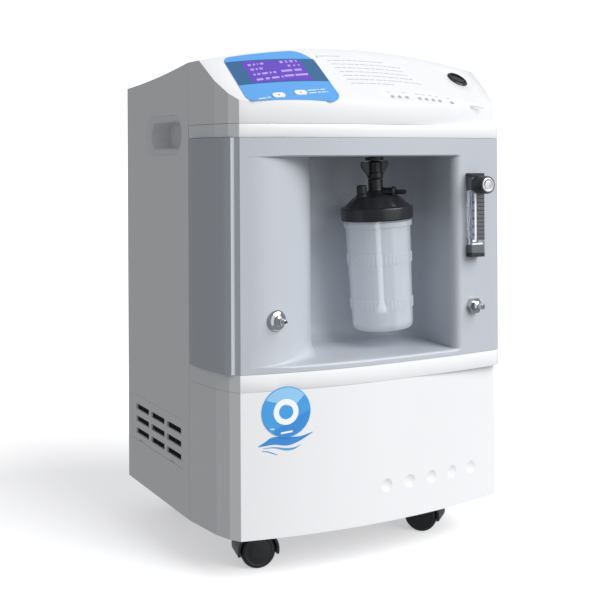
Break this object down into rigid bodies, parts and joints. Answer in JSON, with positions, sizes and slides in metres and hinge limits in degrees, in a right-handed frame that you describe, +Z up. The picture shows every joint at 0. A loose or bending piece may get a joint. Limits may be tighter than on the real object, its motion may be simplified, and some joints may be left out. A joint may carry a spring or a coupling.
{
  "type": "oxygen concentrator",
  "caption": "Floor-standing oxygen concentrator on swivelling twin-wheel casters, with a recessed bubble humidifier, flowmeter and slanted control panel.",
  "frame": {"origin": "centre of the object's footprint, on the floor", "axes": "+X to the right seen from the front, +Y to the back, +Z up"},
  "size_m": [0.3854, 0.3554, 0.591],
  "materials": {
    "white_shell": "glossy moulded ABS",
    "grey_belt": "satin grey-blue moulded panel",
    "overlay_print": "printed polyester overlay, two blues",
    "badge_print": "printed gloss sticker",
    "display": "backlit display module",
    "circuit_board": "solder-masked board",
    "lamp_lens": "small grey lenses",
    "button_white": "smooth white keys",
    "black_plastic": "fine moulded black",
    "wheel_black": "hard black nylon",
    "foam": "open-cell filter foam",
    "screw_steel": "zinc-plated",
    "clear_jar": "translucent frosted plastic",
    "clear_tube": "translucent tube",
    "seal_rubber": "soft black rubber",
    "clear_acrylic": "polished clear acrylic",
    "float_steel": "dark polished ball",
    "knob_face": "bright turned disc",
    "chrome_fitting": "plated",
    "stem_steel": "plated stems",
    "sheet_steel": "zinc sheet",
    "motor_steel": "painted motor case",
    "cast_alloy": "cast",
    "tank_alloy": "drawn tanks"
  },
  "bodies": {
    "cabinet": {"base_plate": "sheet_steel", "rear_shell": "white_shell", "lower_cover": "white_shell", "lower_trim": "white_shell", "belt_panel": "grey_belt", "upper_trim": "white_shell", "control_housing": "white_shell", "control_overlay": "overlay_print", "badge": "badge_print", "handle_cups": "white_shell", "lcd_module": "display", "control_board": "circuit_board", "indicator_lamps": "lamp_lens", "switch_bezel": "black_plastic", "filter_tray": "white_shell", "intake_foam": "foam", "exhaust_grille": "black_plastic", "power_inlet": "black_plastic", "case_screws": "screw_steel", "humidifier_lid": "black_plastic", "lid_gasket": "seal_rubber", "relief_valve": "black_plastic", "dip_tube": "clear_tube", "humidifier_port": "black_plastic", "flowmeter_block": "clear_acrylic", "flowmeter_fittings": "black_plastic", "oxygen_outlet": "chrome_fitting", "nebulizer_outlet": "chrome_fitting", "caster_stems": "stem_steel", "inner_shelf": "sheet_steel", "compressor_motor": "motor_steel", "compressor_heads": "cast_alloy", "compressor_mounts": "seal_rubber", "fan_frame": "black_plastic", "sieve_tanks": "tank_alloy", "oxygen_tank": "tank_alloy", "valve_manifold": "cast_alloy", "main_board": "circuit_board"},
    "jar": {"humidifier_jar": "clear_jar"},
    "wing_nut": {"wing_nut": "black_plastic"},
    "knob": {"flow_knob": "black_plastic", "knob_cap": "knob_face"},
    "float": {"flow_float": "float_steel"},
    "rocker": {"power_rocker": "black_plastic"},
    "button_left": {"menu_button_left": "button_white"},
    "button_right": {"menu_button_right": "button_white"},
    "intake_door": {"filter_door": "white_shell"},
    "fan": {"fan_rotor": "black_plastic"},
    "swivel_front_left": {"caster_hood_front_left": "black_plastic"},
    "wheel_front_left_inner": {"caster_wheel_front_left_inner": "wheel_black"},
    "wheel_front_left_outer": {"caster_wheel_front_left_outer": "wheel_black"},
    "swivel_front_right": {"caster_hood_front_right": "black_plastic"},
    "wheel_front_right_inner": {"caster_wheel_front_right_inner": "wheel_black"},
    "wheel_front_right_outer": {"caster_wheel_front_right_outer": "wheel_black"},
    "swivel_rear_left": {"caster_hood_rear_left": "black_plastic"},
    "wheel_rear_left_inner": {"caster_wheel_rear_left_inner": "wheel_black"},
    "wheel_rear_left_outer": {"caster_wheel_rear_left_outer": "wheel_black"},
    "swivel_rear_right": {"caster_hood_rear_right": "black_plastic"},
    "wheel_rear_right_inner": {"caster_wheel_rear_right_inner": "wheel_black"},
    "wheel_rear_right_outer": {"caster_wheel_rear_right_outer": "wheel_black"}
  },
  "joints": [
    {"name": "jar_turn", "type": "hinge", "parent": "cabinet", "child": "jar", "pos_m": [0.025, -0.0904, 0.462], "axis": [-0.0558, 0, 0.9984], "range_deg": [-360, 0]},
    {"name": "wing_nut_turn", "type": "hinge", "parent": "cabinet", "child": "wing_nut", "pos_m": [0.025, -0.0904, 0.462], "axis": [-0.0558, 0, 0.9984], "continuous": true},
    {"name": "knob_turn", "type": "hinge", "parent": "cabinet", "child": "knob", "pos_m": [0.127, -0.1584, 0.428], "axis": [0, -1, 0], "range_deg": [0, 1080]},
    {"name": "float_rise", "type": "slide", "parent": "cabinet", "child": "float", "axis": [0, 0, 1], "range_m": [0, 0.0544]},
    {"name": "rocker_tilt", "type": "hinge", "parent": "cabinet", "child": "rocker", "pos_m": [0.146, -0.09292, 0.55676], "axis": [0.9911, 0.0811, -0.1054], "range_deg": [0, 14]},
    {"name": "button_left_press", "type": "slide", "parent": "cabinet", "child": "button_left", "axis": [0.114, 0.6061, -0.7872], "range_m": [0, 0.0008], "stiffness_N_per_m": 600, "springref_m": -0.001},
    {"name": "button_right_press", "type": "slide", "parent": "cabinet", "child": "button_right", "axis": [0.0893, 0.6077, -0.7892], "range_m": [0, 0.0008], "stiffness_N_per_m": 600, "springref_m": -0.001},
    {"name": "intake_door_pull", "type": "slide", "parent": "cabinet", "child": "intake_door", "axis": [-1, 0, 0], "range_m": [0, 0.04]},
    {"name": "fan_spin", "type": "hinge", "parent": "cabinet", "child": "fan", "pos_m": [0, 0.0746, 0.231], "axis": [0, 0, 1], "continuous": true},
    {"name": "swivel_front_left_turn", "type": "hinge", "parent": "cabinet", "child": "swivel_front_left", "pos_m": [-0.116, -0.0784, 0.041], "axis": [0, 0, 1], "continuous": true},
    {"name": "wheel_front_left_inner_spin", "type": "hinge", "parent": "swivel_front_left", "child": "wheel_front_left_inner", "pos_m": [-0.12769, -0.0757, 0.02], "axis": [0.225, 0.9744, 0], "continuous": true},
    {"name": "wheel_front_left_outer_spin", "type": "hinge", "parent": "swivel_front_left", "child": "wheel_front_left_outer", "pos_m": [-0.12769, -0.0757, 0.02], "axis": [0.225, 0.9744, 0], "continuous": true},
    {"name": "swivel_front_right_turn", "type": "hinge", "parent": "cabinet", "child": "swivel_front_right", "pos_m": [0.116, -0.0784, 0.041], "axis": [0, 0, 1], "continuous": true},
    {"name": "wheel_front_right_inner_spin", "type": "hinge", "parent": "swivel_front_right", "child": "wheel_front_right_inner", "pos_m": [0.10797, -0.06948, 0.02], "axis": [0.7431, 0.6691, 0], "continuous": true},
    {"name": "wheel_front_right_outer_spin", "type": "hinge", "parent": "swivel_front_right", "child": "wheel_front_right_outer", "pos_m": [0.10797, -0.06948, 0.02], "axis": [0.7431, 0.6691, 0], "continuous": true},
    {"name": "swivel_rear_left_turn", "type": "hinge", "parent": "cabinet", "child": "swivel_rear_left", "pos_m": [-0.112, 0.1316, 0.041], "axis": [0, 0, 1], "continuous": true},
    {"name": "wheel_rear_left_inner_spin", "type": "hinge", "parent": "swivel_rear_left", "child": "wheel_rear_left_inner", "pos_m": [-0.12239, 0.1376, 0.02], "axis": [0.5, 0.866, 0], "continuous": true},
    {"name": "wheel_rear_left_outer_spin", "type": "hinge", "parent": "swivel_rear_left", "child": "wheel_rear_left_outer", "pos_m": [-0.12239, 0.1376, 0.02], "axis": [0.5, 0.866, 0], "continuous": true},
    {"name": "swivel_rear_right_turn", "type": "hinge", "parent": "cabinet", "child": "swivel_rear_right", "pos_m": [0.112, 0.1316, 0.041], "axis": [0, 0, 1], "continuous": true},
    {"name": "wheel_rear_right_inner_spin", "type": "hinge", "parent": "swivel_rear_right", "child": "wheel_rear_right_inner", "pos_m": [0.10041, 0.13471, 0.02], "axis": [0.2588, 0.9659, 0], "continuous": true},
    {"name": "wheel_rear_right_outer_spin", "type": "hinge", "parent": "swivel_rear_right", "child": "wheel_rear_right_outer", "pos_m": [0.10041, 0.13471, 0.02], "axis": [0.2588, 0.9659, 0], "continuous": true}
  ]
}
